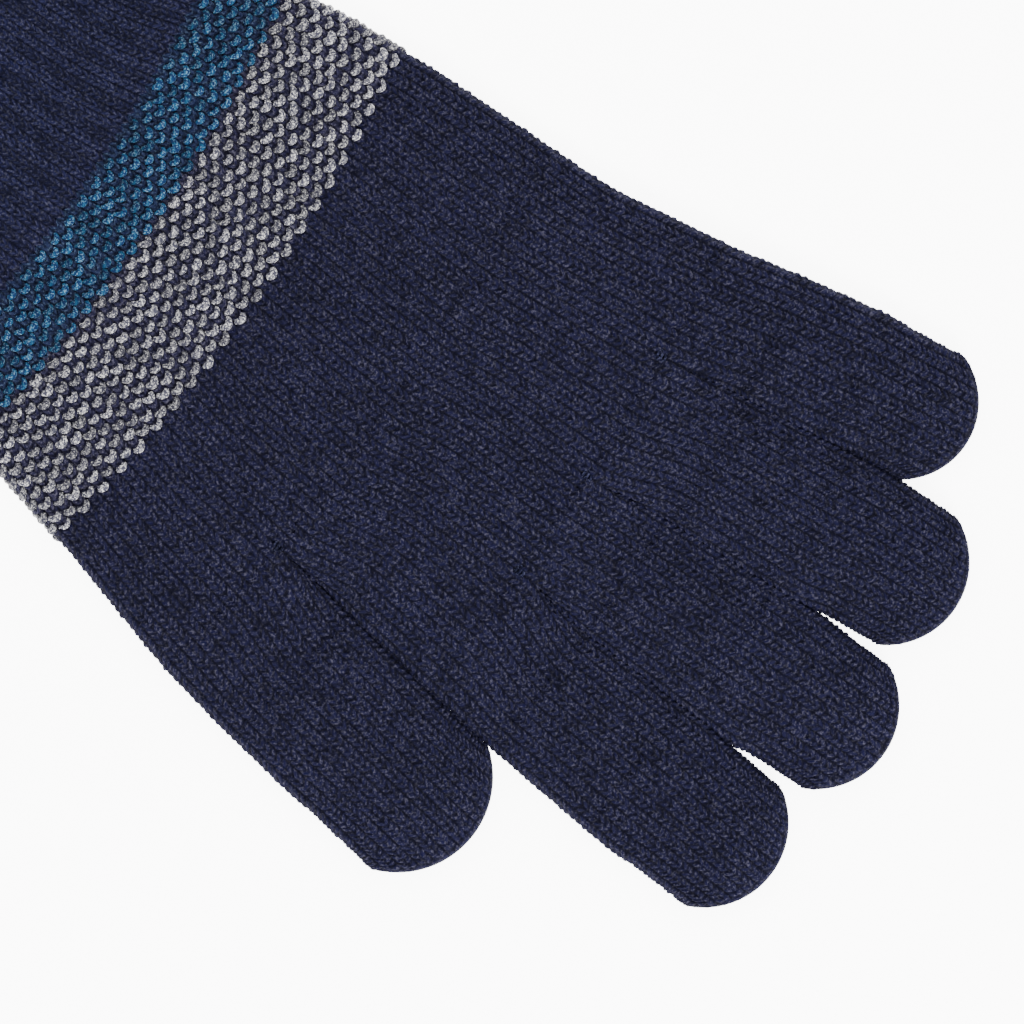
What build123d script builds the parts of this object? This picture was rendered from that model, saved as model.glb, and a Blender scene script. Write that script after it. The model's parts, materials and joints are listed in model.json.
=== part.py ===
from build123d import *
import math
import os

# A knitted glove laid flat, palm side up. Units are millimetres.
# +Y runs from the cuff to the fingertips, +X towards the thumb, +Z up out of the palm side.
# The origin is on the underside at the middle of the wrist, where the plain hand begins.

# Fabric
THICKNESS = 8.6  # both layers and the air between them, lying loosely flat
WALL = 1.6  # one layer of plain knit
EDGE_ROUND = 3.4  # rounding of the folded edges
LINING_ROUND = 2.0  # rounding inside the folded edges
FOLD_GAP = 0.5  # clearance between the two sides of a fold
FINGER_GAP = 1.0  # clearance between neighbouring fingers
OVERRUN = 12.0  # how far a tube is made past its open end before it is trimmed
CUT_SIZE = 400.0  # a cutting block's side, larger than the whole glove
TIP_MARGIN = 1.0  # the slice that makes a tip runs this far past its end
LEVEL_LIMIT = 0.1  # an edge is level when its direction rises less than this share of its length

# Lengths along the hand
KNUCKLES_Y = 64.0  # the four fingers leave the hand on this line
GREY_BAND_END = -22.0  # the grey band gives way to the teal one at the middle of the hand here
WRIST_FOLD_Y = -37.5  # the plain bands end and the rib begins
CUFF_MOUTH_Y = -103.0
WELT_WIDTH = 4.0
HAND_HALF = 52.0  # half the width of the hand at the wrist
BAND_BOW = 4.0  # a course rises this much from the edges to the middle of the hand
BAND_CUT_HALF = 1.6 * HAND_HALF  # half the length of the arc that cuts a band, past both sides
LONG_SIDE_EDGES = 4  # the hand's two long sides, each with an edge above and one below

# Sides of the hand and cuff, as X at each Y
LITTLE_SIDE = [
    (-40.0, CUFF_MOUTH_Y - OVERRUN),
    (-39.0, -78.0),
    (-41.0, -52.0),
    (-46.5, WRIST_FOLD_Y),
    (-51.6, GREY_BAND_END),
    (-53.6, 0.0),
    (-55.2, 38.0),
]
THUMB_SIDE = [
    (40.0, CUFF_MOUTH_Y - OVERRUN),
    (39.0, -78.0),
    (40.5, -52.0),
    (44.5, WRIST_FOLD_Y),
    (48.3, GREY_BAND_END),
    (53.0, 0.0),
]

# Lines that part the fingers: X on the knuckle line, and lean towards the thumb in degrees
PARTINGS = [(-59.4, -11.0), (-37.2, -8.0), (-12.5, -4.4), (10.3, 1.0), (35.4, 3.4)]

# Each finger: highest Y, then the Y of its middle and end knuckles
FINGERS = {
    "little": (114.2, 84.0, 99.5),
    "ring": (129.5, 91.0, 110.5),
    "middle": (134.3, 93.0, 114.0),
    "index": (130.6, 91.0, 111.0),
}

# Thumb
THUMB_CROTCH = (30.3, 28.0)
THUMB_LEAN = 9.0  # degrees away from the index finger
THUMB_TURN = math.radians(THUMB_LEAN)
THUMB_WIDTH = 28.4
THUMB_LENGTH = 57.0
THUMB_KNUCKLE = 31.0  # from the crotch line to the knuckle
CROTCH_TRIM = 0.2  # the hand is cut back this far beside the crotch, clear of the thumb
ROOT_TRIM_SIZE = 60.0  # the block that trims the root of the thumb, longer than what it trims
NOTCH_SETBACK = 1.3  # the lining turns the crotch's corner this many wall depths behind it

# Small pieces
TACK_RADIUS = 1.3
TACK_SETBACK = 2.2
THUMB_TACK_SETBACK = 3.6  # clear of the wall that turns the corner of the thumb's crotch
ELASTIC_THREAD = 0.45
ELASTIC_WIDTH = 0.8
ELASTIC_PITCH = 9.0
ELASTIC_COUNT = 6


def at(y, parting):
    """The X of a parting line at a given Y."""
    x, lean = parting
    return x + (y - KNUCKLES_Y) * math.tan(math.radians(lean))


def finger_face(left, right, top, inset):
    """A tapered slot between two leaning lines, closed by an arc that touches both and ends at top."""
    left_lean, right_lean = math.radians(left[1]), math.radians(right[1])
    spread = math.tan(right_lean) - math.tan(left_lean)
    left_x = left[0] + inset / math.cos(left_lean)
    right_x = right[0] - inset / math.cos(right_lean)
    reach = top - inset - KNUCKLES_Y
    share = 1 / math.cos(left_lean) + 1 / math.cos(right_lean) + spread
    radius = (right_x - left_x + reach * spread) / share
    centre_y = KNUCKLES_Y + reach - radius
    left_at_centre = left_x + (centre_y - KNUCKLES_Y) * math.tan(left_lean)
    centre_x = left_at_centre + radius / math.cos(left_lean)
    middle_lean = (left_lean + right_lean) / 2
    start_y = KNUCKLES_Y - OVERRUN
    left_touch = (centre_x - radius * math.cos(left_lean), centre_y + radius * math.sin(left_lean))
    right_touch = (centre_x + radius * math.cos(right_lean), centre_y - radius * math.sin(right_lean))
    crown = (centre_x + radius * math.sin(middle_lean), centre_y + radius * math.cos(middle_lean))
    left_start = (left_x - OVERRUN * math.tan(left_lean), start_y)
    right_start = (right_x - OVERRUN * math.tan(right_lean), start_y)
    outline = [
        Line(left_start, left_touch),
        ThreePointArc(left_touch, crown, right_touch),
        Line(right_touch, right_start),
        Line(right_start, left_start),
    ]
    return make_face(outline)


def thumb_face(inset):
    """A straight slot of even width with a round end, made along +Y from its own crotch line."""
    half = THUMB_WIDTH / 2 - inset
    end_y = THUMB_LENGTH - inset - half
    corners = [(-half, end_y), (-half, -OVERRUN), (half, -OVERRUN), (half, end_y)]
    outline = [
        *Polyline(corners).edges(),
        ThreePointArc((half, end_y), (0, end_y + half), (-half, end_y)),
    ]
    return make_face(outline)


def level_edges(solid):
    """The edges of a solid that run flat."""
    return solid.edges().filter_by(lambda e: abs(e.tangent_at(0.5).Z) < LEVEL_LIMIT)


def slab(face, low, high, rounding):
    """The face thickened from low to high, with its level edges rounded."""
    solid = extrude(face.moved(Location((0, 0, low))), high - low)
    return fillet(level_edges(solid), rounding)


def hollow(outer, inner):
    """A closed flat tube: the rounded outer slab less the rounded inner one."""
    shell = slab(outer, 0, THICKNESS, EDGE_ROUND)
    return shell - slab(inner, WALL, THICKNESS - WALL, LINING_ROUND)


def slice_between(solid, low_y, high_y):
    """The stretch of a solid from low_y to high_y."""
    window = Location((0, (low_y + high_y) / 2, 0)) * Box(CUT_SIZE, high_y - low_y, CUT_SIZE)
    return solid & window


def area_below(y):
    """Everything on the cuff's side of the bowed course that crosses the middle of the hand at y."""
    radius = HAND_HALF**2 / (2 * BAND_BOW)
    drop = radius - math.sqrt(radius**2 - BAND_CUT_HALF**2)
    low = y - CUT_SIZE / 2
    outline = [
        ThreePointArc((-BAND_CUT_HALF, y - drop), (0, y), (BAND_CUT_HALF, y - drop)),
        *Polyline(
            [
                (BAND_CUT_HALF, y - drop),
                (BAND_CUT_HALF, low),
                (-BAND_CUT_HALF, low),
                (-BAND_CUT_HALF, y - drop),
            ]
        ).edges(),
    ]
    return extrude(make_face(outline), CUT_SIZE / 2, both=True)


def single(shape, name):
    """The one solid of a cut shape, or a plain error if the cut left more than one."""
    solids = shape.solids()
    if len(solids) != 1:
        raise ValueError(f"{name} has {len(solids)} solids")
    return solids[0]


def hand_face(inset):
    """The cuff, hand and thumb root in one outline, run past every open end."""
    along = Vector(math.sin(THUMB_TURN), math.cos(THUMB_TURN))
    across = Vector(math.cos(THUMB_TURN), -math.sin(THUMB_TURN))
    crotch = Vector(*THUMB_CROTCH)
    top_y = KNUCKLES_Y + OVERRUN
    left = [(x + inset, y) for x, y in LITTLE_SIDE]
    left += [(at(y, PARTINGS[0]) + inset, y) for y in (KNUCKLES_Y, top_y)]
    right = [(x - inset, y) for x, y in THUMB_SIDE]
    root_side = crotch + across * (THUMB_WIDTH + FINGER_GAP / 2 - inset)
    root_far = root_side + along * OVERRUN
    root_near = crotch + across * (FINGER_GAP / 2 + inset) + along * OVERRUN
    notch = crotch - along * (inset * NOTCH_SETBACK)
    side_length = (top_y - crotch.Y) / math.cos(THUMB_TURN)
    side_top = crotch + along * side_length - across * (FINGER_GAP / 2 + inset)
    right += [(root_side.X, root_side.Y)]
    little_edge = Spline(left)
    thumb_edge = Spline(right)
    rest = Polyline(
        [
            right[-1],
            (root_far.X, root_far.Y),
            (root_near.X, root_near.Y),
            (notch.X, notch.Y),
            (side_top.X, side_top.Y),
            left[-1],
        ]
    )
    mouth = Line(left[0], right[0])
    return make_face([little_edge, thumb_edge, *rest.edges(), mouth])


def cavity(depth):
    """The space inside the hand and cuff, this far in from every outer face."""
    return extrude(hand_face(depth).moved(Location((0, 0, depth))), THICKNESS - 2 * depth)


def hand_tube():
    """The hollow of hand and cuff with its two long sides rounded, trimmed at the knuckles and mouth."""
    solid = extrude(hand_face(0), THICKNESS)
    long_sides = level_edges(solid).sort_by(lambda e: e.length)[-LONG_SIDE_EDGES:]
    return fillet(long_sides, EDGE_ROUND) - cavity(WALL)


def trim_thumb_root(solid):
    """The hand without what lies past the fold at the root of the thumb."""
    crotch_line = Location((*THUMB_CROTCH, THICKNESS / 2), (0, 0, -THUMB_LEAN))
    centre = (ROOT_TRIM_SIZE / 2 - CROTCH_TRIM, ROOT_TRIM_SIZE / 2 - FOLD_GAP / 2, 0)
    return solid - crotch_line * Location(centre) * Box(ROOT_TRIM_SIZE, ROOT_TRIM_SIZE, CUT_SIZE)


os.makedirs("parts", exist_ok=True)
parts = {}

# Hand, bands and cuff: one hollow of fabric, cut where the yarn colour or the stitch changes
tube = trim_thumb_root(hand_tube())
tube = slice_between(tube, CUFF_MOUTH_Y, KNUCKLES_Y - FOLD_GAP / 2)
hand_and_bands = slice_between(tube, WRIST_FOLD_Y + FOLD_GAP / 2, KNUCKLES_Y)
below_hand = area_below(0)
below_grey = area_below(GREY_BAND_END)
parts["hand"] = single(hand_and_bands - below_hand, "hand")
parts["grey_band"] = single((hand_and_bands & below_hand) - below_grey, "grey_band")
parts["teal_band"] = single(hand_and_bands & below_grey, "teal_band")
cuff_top = WRIST_FOLD_Y - FOLD_GAP / 2
parts["rib_cuff"] = single(slice_between(tube, CUFF_MOUTH_Y + WELT_WIDTH, cuff_top), "rib_cuff")
parts["cuff_welt"] = single(slice_between(tube, CUFF_MOUTH_Y, CUFF_MOUTH_Y + WELT_WIDTH), "cuff_welt")

# Elastic threads laid inside the rib, each a flat ring against the lining side
rings = []
sleeve = cavity(WALL) - cavity(WALL + ELASTIC_THREAD)
for turn in range(ELASTIC_COUNT):
    y = CUFF_MOUTH_Y + WELT_WIDTH + ELASTIC_PITCH * (turn + 0.5)
    rings.append(single(slice_between(sleeve, y, y + ELASTIC_WIDTH), "elastic thread"))
parts["cuff_elastic_threads"] = Compound(children=rings)

# Fingers: one slot each, cut across at its knuckles
for number, (name, (top, middle_y, end_y)) in enumerate(FINGERS.items()):
    left, right = PARTINGS[number], PARTINGS[number + 1]
    if number > 0:
        left = (left[0] + FINGER_GAP / 2, left[1])
    if number < len(FINGERS) - 1:
        right = (right[0] - FINGER_GAP / 2, right[1])
    finger = hollow(finger_face(left, right, top, 0), finger_face(left, right, top, WALL))
    half_gap = FOLD_GAP / 2
    stretches = {
        "base": (KNUCKLES_Y + half_gap, middle_y - half_gap),
        "middle": (middle_y + half_gap, end_y - half_gap),
        "tip": (end_y + half_gap, top + TIP_MARGIN),
    }
    for stretch, (low_y, high_y) in stretches.items():
        node = f"{name}_{stretch}"
        parts[node] = single(slice_between(finger, low_y, high_y), node)

# Thumb: made upright on its own crotch line, cut, then leaned into place
thumb = hollow(thumb_face(0), thumb_face(WALL))
thumb_shift = (THUMB_WIDTH + FINGER_GAP) / 2
thumb_place = Location((*THUMB_CROTCH, 0), (0, 0, -THUMB_LEAN)) * Location((thumb_shift, 0, 0))
thumb_stretches = {
    "thumb_base": (FOLD_GAP / 2, THUMB_KNUCKLE - FOLD_GAP / 2),
    "thumb_tip": (THUMB_KNUCKLE + FOLD_GAP / 2, THUMB_LENGTH + TIP_MARGIN),
}
for node, (low_y, high_y) in thumb_stretches.items():
    parts[node] = single(thumb_place * slice_between(thumb, low_y, high_y), node)

# Crotch tacks: the few stitches that close the palm to the back between two fingers
tack_height = THICKNESS - 2 * WALL
tack_y = KNUCKLES_Y - TACK_SETBACK
tack_spots = {
    "little_ring_tack": (at(tack_y, PARTINGS[1]), tack_y),
    "ring_middle_tack": (at(tack_y, PARTINGS[2]), tack_y),
    "middle_index_tack": (at(tack_y, PARTINGS[3]), tack_y),
    "index_thumb_tack": (
        THUMB_CROTCH[0] - THUMB_TACK_SETBACK * math.sin(THUMB_TURN),
        THUMB_CROTCH[1] - THUMB_TACK_SETBACK * math.cos(THUMB_TURN),
    ),
}
for node, (x, y) in tack_spots.items():
    place = Location((x, y, THICKNESS / 2))
    parts[node] = place * Cylinder(TACK_RADIUS, tack_height)

for node, shape in parts.items():
    export_step(shape, f"parts/{node}.step")
    print(node, round(shape.volume, 1))
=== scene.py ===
import json
import math

import bpy
import numpy as np
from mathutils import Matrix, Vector


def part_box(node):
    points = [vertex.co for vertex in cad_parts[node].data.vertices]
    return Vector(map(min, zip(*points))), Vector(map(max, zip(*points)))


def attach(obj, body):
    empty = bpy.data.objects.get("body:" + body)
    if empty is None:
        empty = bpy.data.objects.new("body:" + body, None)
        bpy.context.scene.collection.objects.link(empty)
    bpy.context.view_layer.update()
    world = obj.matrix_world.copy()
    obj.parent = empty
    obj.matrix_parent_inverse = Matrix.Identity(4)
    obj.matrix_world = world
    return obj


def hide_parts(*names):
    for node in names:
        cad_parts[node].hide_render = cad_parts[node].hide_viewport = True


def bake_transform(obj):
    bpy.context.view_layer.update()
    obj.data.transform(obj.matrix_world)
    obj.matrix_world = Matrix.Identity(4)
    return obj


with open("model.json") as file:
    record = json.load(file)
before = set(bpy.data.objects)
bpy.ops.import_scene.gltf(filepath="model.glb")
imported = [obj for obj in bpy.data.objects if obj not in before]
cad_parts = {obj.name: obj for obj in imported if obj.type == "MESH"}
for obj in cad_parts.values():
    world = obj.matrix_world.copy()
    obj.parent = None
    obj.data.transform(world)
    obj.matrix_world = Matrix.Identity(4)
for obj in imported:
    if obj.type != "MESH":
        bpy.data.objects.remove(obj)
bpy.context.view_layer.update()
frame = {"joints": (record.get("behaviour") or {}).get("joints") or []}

# --------------------
# The camera looks straight down on the glove from a copy stand, turned so that the
# fingers point down and to the right and the cuff runs out of view. Lengths are in
# millimetres: X across the hand, Y towards the fingertips, Z up from the table.
MM = 0.001
VIEW_WIDTH = 179.2
VIEW_CENTRE = (1.0, 56.8)
CAMERA_TURN = 125.8
LENS = 200.0
SENSOR = 36.0
NEAREST_SEEN = 0.05
FARTHEST_SEEN = 20.0
FABRIC_TOP = 6.4

camera_data = bpy.data.cameras.new("camera")
camera_data.lens = LENS
camera_data.sensor_width = SENSOR
camera_data.clip_start = NEAREST_SEEN
camera_data.clip_end = FARTHEST_SEEN
camera = bpy.data.objects.new("camera", camera_data)
camera_height = VIEW_WIDTH * LENS / SENSOR + FABRIC_TOP
camera.location = (VIEW_CENTRE[0] * MM, VIEW_CENTRE[1] * MM, camera_height * MM)
camera.rotation_euler = (0.0, 0.0, math.radians(CAMERA_TURN))
bpy.context.scene.collection.objects.link(camera)
bpy.context.scene.camera = camera

# --------------------
# The studio: a lit white table under the glove and broad soft lights, one stronger
# lamp from beyond the fingertips so that each stitch keeps a small shadow.
FLOOR_HALF = 3.0
FLOOR_DROP = 0.0002
PAPER_WHITE = (0.93, 0.93, 0.93, 1.0)
PAPER_ROUGHNESS = 0.9
PAPER_GLOW = 8.0
ROOM_WHITE = (1.0, 1.0, 1.0, 1.0)
ROOM_LIGHT = 2.2
# For each lamp: its place and its side in metres, and its power in watts.
LAMPS = {
    "lamp_beyond_the_tips": ((0.55, 0.95, 0.85), 0.5, 34.0),
    "lamp_over_the_cuff": ((-0.7, -0.5, 1.1), 0.9, 10.0),
}


def add_lamp(name, place, size, watts):
    """A square soft lamp at a place, aimed at the middle of the glove."""
    lamp = bpy.data.lights.new(name, "AREA")
    lamp.shape = "SQUARE"
    lamp.size = size
    lamp.energy = watts
    holder = bpy.data.objects.new(name, lamp)
    holder.location = place
    holder.rotation_euler = (-Vector(place)).to_track_quat("-Z", "Y").to_euler()
    bpy.context.scene.collection.objects.link(holder)


def set_sockets(node, values):
    """Sets a node's own input sockets to constants."""
    for socket, value in values.items():
        node.inputs[socket].default_value = value


square = ((-1, -1), (1, -1), (1, 1), (-1, 1))
floor_corners = [(FLOOR_HALF * x, FLOOR_HALF * y, -FLOOR_DROP) for x, y in square]
floor_mesh = bpy.data.meshes.new("paper_sweep")
floor_mesh.from_pydata(floor_corners, [], [(0, 1, 2, 3)])
floor = bpy.data.objects.new("paper_sweep", floor_mesh)
bpy.context.scene.collection.objects.link(floor)
paper = bpy.data.materials.new("paper")
paper.use_nodes = True
paper_shader = paper.node_tree.nodes["Principled BSDF"]
set_sockets(paper_shader, {"Base Color": PAPER_WHITE, "Roughness": PAPER_ROUGHNESS})
set_sockets(paper_shader, {"Emission Color": PAPER_WHITE, "Emission Strength": PAPER_GLOW})
floor.data.materials.append(paper)

world = bpy.data.worlds.new("studio")
world.use_nodes = True
set_sockets(world.node_tree.nodes["Background"], {"Color": ROOM_WHITE, "Strength": ROOM_LIGHT})
bpy.context.scene.world = world
for lamp_name, lamp_facts in LAMPS.items():
    add_lamp(lamp_name, *lamp_facts)

# --------------------
# The palm and back of the hand: one seamless tube of navy lambswool jersey, lying
# flat. Its wales fan out from below the wrist and its courses are arcs across them,
# counted from the course that crosses the hand's middle at Y 0.
joints = {joint["name"]: joint for joint in frame["joints"]}
FAN_CENTRE = (1.75, -300.0)
COURSE_HEIGHT = 1.32
EDGE_RADIUS = 2.0
FOLD_Z = 2.55
LOWER_FACE_Z = 0.45
HAND_CROWN = 2.3
CROWN_REACH = 5.5
# Waves of the lying cloth: radians come from X over the first and Y over the second,
# then the start and the height.
CLOTH_WAVES = ((13.0, 31.0, 0.6, 0.24), (-23.0, 17.0, 1.1, 0.2))
TRUNK_WALES = 45
LEAST_BOW = 0.15
BOW_GROWTH = 0.85
BOW_GROWTH_ROWS = (-78.0, -28.0)
SIDE_STEP = 0.5
SIDE_SOFTENING = 7.0
CUFF_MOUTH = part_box("cuff_welt")[0].y / MM
WRIST_Y = joints["wrist_fold"]["pos_m"][1] / MM
GREY_END_Y = -22.0
LITTLE_LEAN = 11.7
THUMB_CROTCH = (30.3, 28.0)
THUMB_LEAN = 8.2
THUMB_WIDTH = 29.0
THUMB_LENGTH = 59.0
THUMB_OUTER = (
    THUMB_CROTCH[0] + THUMB_WIDTH * math.cos(math.radians(THUMB_LEAN)),
    THUMB_CROTCH[1] - THUMB_WIDTH * math.sin(math.radians(THUMB_LEAN)),
)
# The hand's outline on each side, as points of Y and then X.
LITTLE_SIDE = [
    (CUFF_MOUTH - 12.0, -40.0),
    (-78.0, -39.0),
    (-52.0, -41.0),
    (WRIST_Y, -46.5),
    (GREY_END_Y, -51.6),
    (0.0, -53.9),
    (38.0, -55.2),
    (64.0, -59.8),
    (110.0, -59.8 - 46.0 * math.tan(math.radians(LITTLE_LEAN))),
]
THUMB_SIDE = [
    (CUFF_MOUTH - 12.0, 40.0),
    (-78.0, 39.0),
    (-52.0, 40.5),
    (WRIST_Y, 43.7),
    (GREY_END_Y, 47.1),
    (0.0, 52.5),
    (THUMB_OUTER[1], THUMB_OUTER[0]),
    (110.0, THUMB_OUTER[0] + (110.0 - THUMB_OUTER[1]) * math.tan(math.radians(THUMB_LEAN))),
]


def eased(share):
    """Zero below 0, one above 1, and between them share squared times three less two shares: a smooth S."""
    held = np.clip(share, 0.0, 1.0)
    return held * held * (3.0 - 2.0 * held)


def soft_side(points):
    """X of an outline at any Y: straight runs between the points, averaged over a short window."""
    along = np.arange(points[0][0], points[-1][0], SIDE_STEP)
    straight = np.interp(along, [p[0] for p in points], [p[1] for p in points])
    window = int(SIDE_SOFTENING / SIDE_STEP) | 1
    padded = np.pad(straight, window // 2, mode="reflect", reflect_type="odd")
    soft = np.convolve(padded, np.ones(window) / window, mode="valid")
    return lambda y: np.interp(y, along, soft)


def leaning_side(start, lean):
    """X of a straight side at any Y: it leaves the start point and leans by that many degrees."""
    slope = math.tan(math.radians(lean))
    return lambda y: start[0] + (y - start[1]) * slope


def course_y(x, row):
    """Y of a course at X: an arc about the fan's centre, flattened towards the mouth of the cuff."""
    reach = -FAN_CENTRE[1] + COURSE_HEIGHT * row
    bow = reach - np.sqrt(reach**2 - (x - FAN_CENTRE[0]) ** 2)
    first, last = BOW_GROWTH_ROWS
    share = LEAST_BOW + BOW_GROWTH * eased((row - first) / (last - first))
    return FAN_CENTRE[1] + reach - share * bow


def side_on_course(side, row):
    """X where a course meets a side, found by going back and forth between the two a few times."""
    x = side(COURSE_HEIGHT * row)
    for _ in range(4):
        x = side(course_y(x, row))
    return x


def dome(depth):
    """Height share of the rounded fold: a quarter circle over the first EDGE_RADIUS of depth, then one."""
    inside = EDGE_RADIUS - np.clip(depth, 0.0, EDGE_RADIUS)
    return np.sqrt(np.maximum(1.0 - (inside / EDGE_RADIUS) ** 2, 0.0))


def plan_of_arc(arc):
    """How far in plan an arc length along the surface reaches in from the fold: one less the cosine of the
    angle turned, times the radius, over the quarter circle, and then as far as the arc goes on."""
    turned = np.clip(arc / EDGE_RADIUS, 0.0, math.pi / 2)
    return EDGE_RADIUS * (1.0 - np.cos(turned)) + np.maximum(arc - EDGE_RADIUS * math.pi / 2, 0.0)


def across_share(loop_place, wales, width):
    """Place across the face from 0 to 1, and whether it is the upper face, for a place round the loop. Wales
    are spaced evenly along the surface, so that they crowd together in plan on the rounded folds."""
    place = np.mod(loop_place, 2.0 * wales)
    upper = place <= wales
    along = np.where(upper, place, 2.0 * wales - place) / wales
    length = width + (math.pi - 2.0) * EDGE_RADIUS
    arc = along * length
    near_left = arc < length / 2
    plan = np.where(near_left, plan_of_arc(arc), width - plan_of_arc(length - arc))
    return plan / width, upper


def lifted(x, y, depth, upper, crown):
    """Points of a lying tube, its folds at FOLD_Z. The upper face rises by the dome, then by the crown and
    the cloth's waves, which come in as one less an exponential of the depth. The lower face lies level."""
    swell = 1.0 - np.exp(-np.maximum(depth - EDGE_RADIUS, 0.0) / CROWN_REACH)
    waves = sum(np.sin(x / wide + y / long + start) * height for wide, long, start, height in CLOTH_WAVES)
    top = FOLD_Z + dome(depth) * EDGE_RADIUS + swell * (crown + waves)
    bottom = FOLD_Z - dome(depth) * (FOLD_Z - LOWER_FACE_Z)
    return np.stack([x, y, np.where(upper, top, bottom)], axis=-1)


def straight_tube(left_side, right_side, wales, crown, warp=None):
    """The surface of a flat tube between two sides, as a function of wale place round the loop and course:
    X is a share of the way across, Y is the course's there, and the height goes by the nearer side."""

    def surface(place, row):
        """Points of the flat tube at wale places and courses."""
        if warp is not None:
            place = warp(place, row)
        left = side_on_course(left_side, row)
        width = side_on_course(right_side, row) - left
        share, upper = across_share(place, wales, width)
        x = left + share * width
        depth = np.minimum(share, 1.0 - share) * width
        return lifted(x, course_y(x, row), depth, upper, crown)

    return surface


def warped_wales(wales, knots, rows):
    """Moves wale places by the amounts at the knots, more and more between two courses, on both faces."""

    def warp(place, row):
        """The moved wale places."""
        looped = np.mod(place, 2.0 * wales)
        upper = looped <= wales
        column = np.where(upper, looped, 2.0 * wales - looped)
        full = np.interp(column, [knot[0] for knot in knots], [knot[1] for knot in knots])
        moved = column + full * eased((row - rows[0]) / (rows[1] - rows[0]))
        return np.where(upper, moved, 2.0 * wales - moved)

    return warp


WEB_ROWS = 12.0
SMALLEST_WEB = 1e-6


def wales_of(columns, webs):
    """Wales across a tube: the columns that it goes on from, and half of the web wales at its two sides."""
    return columns[1] - columns[0] + sum(webs) / 2


def grown_from(parent, parent_wales, columns, webs, start_row, own):
    """A finger's surface. It begins as the parent's own columns, with the web wales going straight down
    between the parent's faces at each crotch, and turns into its own tube over a few courses."""
    first, last = columns
    left, right = webs
    wales = wales_of(columns, webs)

    def surface(place, row):
        """Points of the finger: early from the parent, then mixed into its own."""
        place, row = np.broadcast_arrays(place, row)
        looped = np.mod(place, 2.0 * wales)
        down_right = np.clip((looped - (wales - right / 2)) / max(right, SMALLEST_WEB), 0.0, 1.0)
        down_left = np.clip((looped - (2.0 * wales - left / 2)) / max(left, SMALLEST_WEB), 0.0, 0.5)
        start_left = np.clip(0.5 - looped / max(left, SMALLEST_WEB), 0.0, 0.5)
        under = down_right - down_left - np.where(looped < left / 2, -start_left, 0.0)
        on_top = np.clip(first + looped - left / 2, first, last)
        below = np.clip(last - (looped - wales - right / 2), first, last)
        column = np.where(looped <= wales, on_top, below)
        top_point = parent(column, row)
        bottom_point = parent(2.0 * parent_wales - column, row)
        early = top_point + (bottom_point - top_point) * under[..., None]
        mixed = eased((row - start_row) / WEB_ROWS)[..., None]
        return early + (own(place, row) - early) * mixed

    return surface


FUZZ_PER_WALE = 5.0
FUZZ_PER_COURSE = 3.0


class Randoms:
    """Seeded small differences between the legs of stitches, one value for each leg and course."""

    def __init__(self, seed, legs, first_row, last_row):
        """Draws the values from a bell curve of width one, with four spare courses."""
        rows = int(last_row - first_row) + 4
        self.values = np.random.default_rng(seed).normal(0.0, 1.0, (rows, legs))
        self.first_row = first_row

    def at(self, place, row):
        """The value at a leg and course: between courses it is blended, between legs it steps."""
        column = np.floor(place).astype(int) % self.values.shape[1]
        level = np.clip(row - self.first_row + 1.0, 0.0, self.values.shape[0] - 1.001)
        under = np.floor(level).astype(int)
        part = level - under
        return self.values[under, column] * (1.0 - part) + self.values[under + 1, column] * part

    def fuzz(self, place, row):
        """Finer differences, several to a wale and to a course, blended both ways: the milled surface."""
        rows, legs = self.values.shape
        column, level = FUZZ_PER_WALE * place, FUZZ_PER_COURSE * (row - self.first_row)
        left, under = np.floor(column).astype(int), np.floor(level).astype(int)
        across, along = column - left, level - under
        lines = []
        for line in (under, under + 1):
            here = self.values[line % rows, left % legs]
            beside = self.values[line % rows, (left + 1) % legs]
            lines.append(here * (1.0 - across) + beside * across)
        return lines[0] * (1.0 - along) + lines[1] * along


STITCH_LEAN = 1.7
STITCH_DEPTH = 0.46
LEG_ROUNDING = 0.06
LEG_POWER = 2.6
TIP_FALL = 0.62
RIDGE_POWER = 0.85
RIDGE_FOOT = 0.3
RIDGE_RISE = 0.7
RIDGE_WANDER = 0.06
HEIGHT_VARIETY = 0.16
HEIGHT_FUZZ = 0.18
LOFT_VARIETY = 0.12
LOFT_FUZZ = 0.24


def stitch_offset(place):
    """How far across its wale a place lies, -0.5 to 0.5, and the leg's drop there: the offset without its
    sign, rounded at the tip as the root of its square and the rounding's, less the rounding."""
    across = np.mod(place, 1.0) - 0.5
    return across, np.sqrt(across**2 + LEG_ROUNDING**2) - LEG_ROUNDING


def jersey_relief(place, row, randoms):
    """Height of plain stitches as a share, and the painted shade and tone that colour them: the height
    again, so that the hollows between stitches are painted darker, with random tone from leg to leg. Each
    leg is a rounded ridge, highest halfway across its side of the wale. It falls away to the groove between
    wales, less so to the tip that it shares with the other leg, and between courses by a cosine. Each leg
    differs a little, and fine fuzz lies over all."""
    across, _ = stitch_offset(place)
    wobble = randoms.at(2.0 * place, row)
    from_leg = (np.abs(across) - 0.25) / 0.25
    leg = 1.0 - np.where(from_leg > 0.0, 1.0, TIP_FALL) * np.abs(from_leg) ** LEG_POWER
    ridge = (0.5 + 0.5 * np.cos(2.0 * math.pi * (row + RIDGE_WANDER * wobble))) ** RIDGE_POWER
    fuzz = randoms.fuzz(place, row)
    height = leg * (RIDGE_FOOT + RIDGE_RISE * ridge)
    # Painted shade and tone: the height darkens the hollows between stitches in the colour, and the leg's
    # random value and the fuzz vary its tone.
    painted_shade_and_tone = height * (1.0 + LOFT_VARIETY * randoms.at(2.0 * place + 1.0, row + 1.0)) + LOFT_FUZZ * fuzz
    return height * (1.0 + HEIGHT_VARIETY * wobble) + HEIGHT_FUZZ * fuzz, painted_shade_and_tone


NORMAL_STEP = 0.04


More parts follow.
